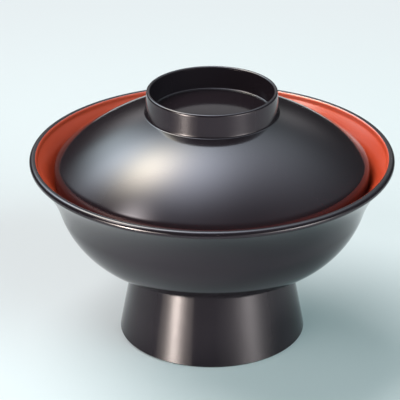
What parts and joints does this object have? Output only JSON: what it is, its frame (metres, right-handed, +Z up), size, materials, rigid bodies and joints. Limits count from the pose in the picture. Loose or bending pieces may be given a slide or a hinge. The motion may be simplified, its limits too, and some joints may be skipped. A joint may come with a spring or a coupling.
{
  "type": "lacquered donburi bowl",
  "caption": "Lacquered donburi bowl on a high hollow foot, black outside and vermilion inside, with a domed lid that drops inside the flared rim and lifts by a ring grip.",
  "frame": {"origin": "centre of the foot's standing face", "axes": "+Z up along the turning axis of bowl and lid; X and Y are alike, and -Y is the side the picture shows"},
  "size_m": [0.193, 0.193, 0.138],
  "materials": {
    "wood_core": "turned, sealed under lacquer",
    "black_lacquer": "semi-gloss black lacquer",
    "vermilion_lacquer": "semi-gloss vermilion lacquer"
  },
  "bodies": {
    "bowl": {"bowl_core": "wood_core", "bowl_black_lacquer": "black_lacquer", "bowl_vermilion_lacquer": "vermilion_lacquer", "foot_core": "wood_core", "foot_black_lacquer": "black_lacquer", "foot_hollow_lacquer": "black_lacquer"},
    "lid": {"lid_core": "wood_core", "lid_black_lacquer": "black_lacquer", "lid_vermilion_lacquer": "vermilion_lacquer", "grip_ring_core": "wood_core", "grip_ring_black_lacquer": "black_lacquer"}
  },
  "joints": [
    {"name": "lid_lift", "type": "slide", "parent": "bowl", "child": "lid", "axis": [0, 0, 1], "range_m": [0, 0.12]}
  ]
}
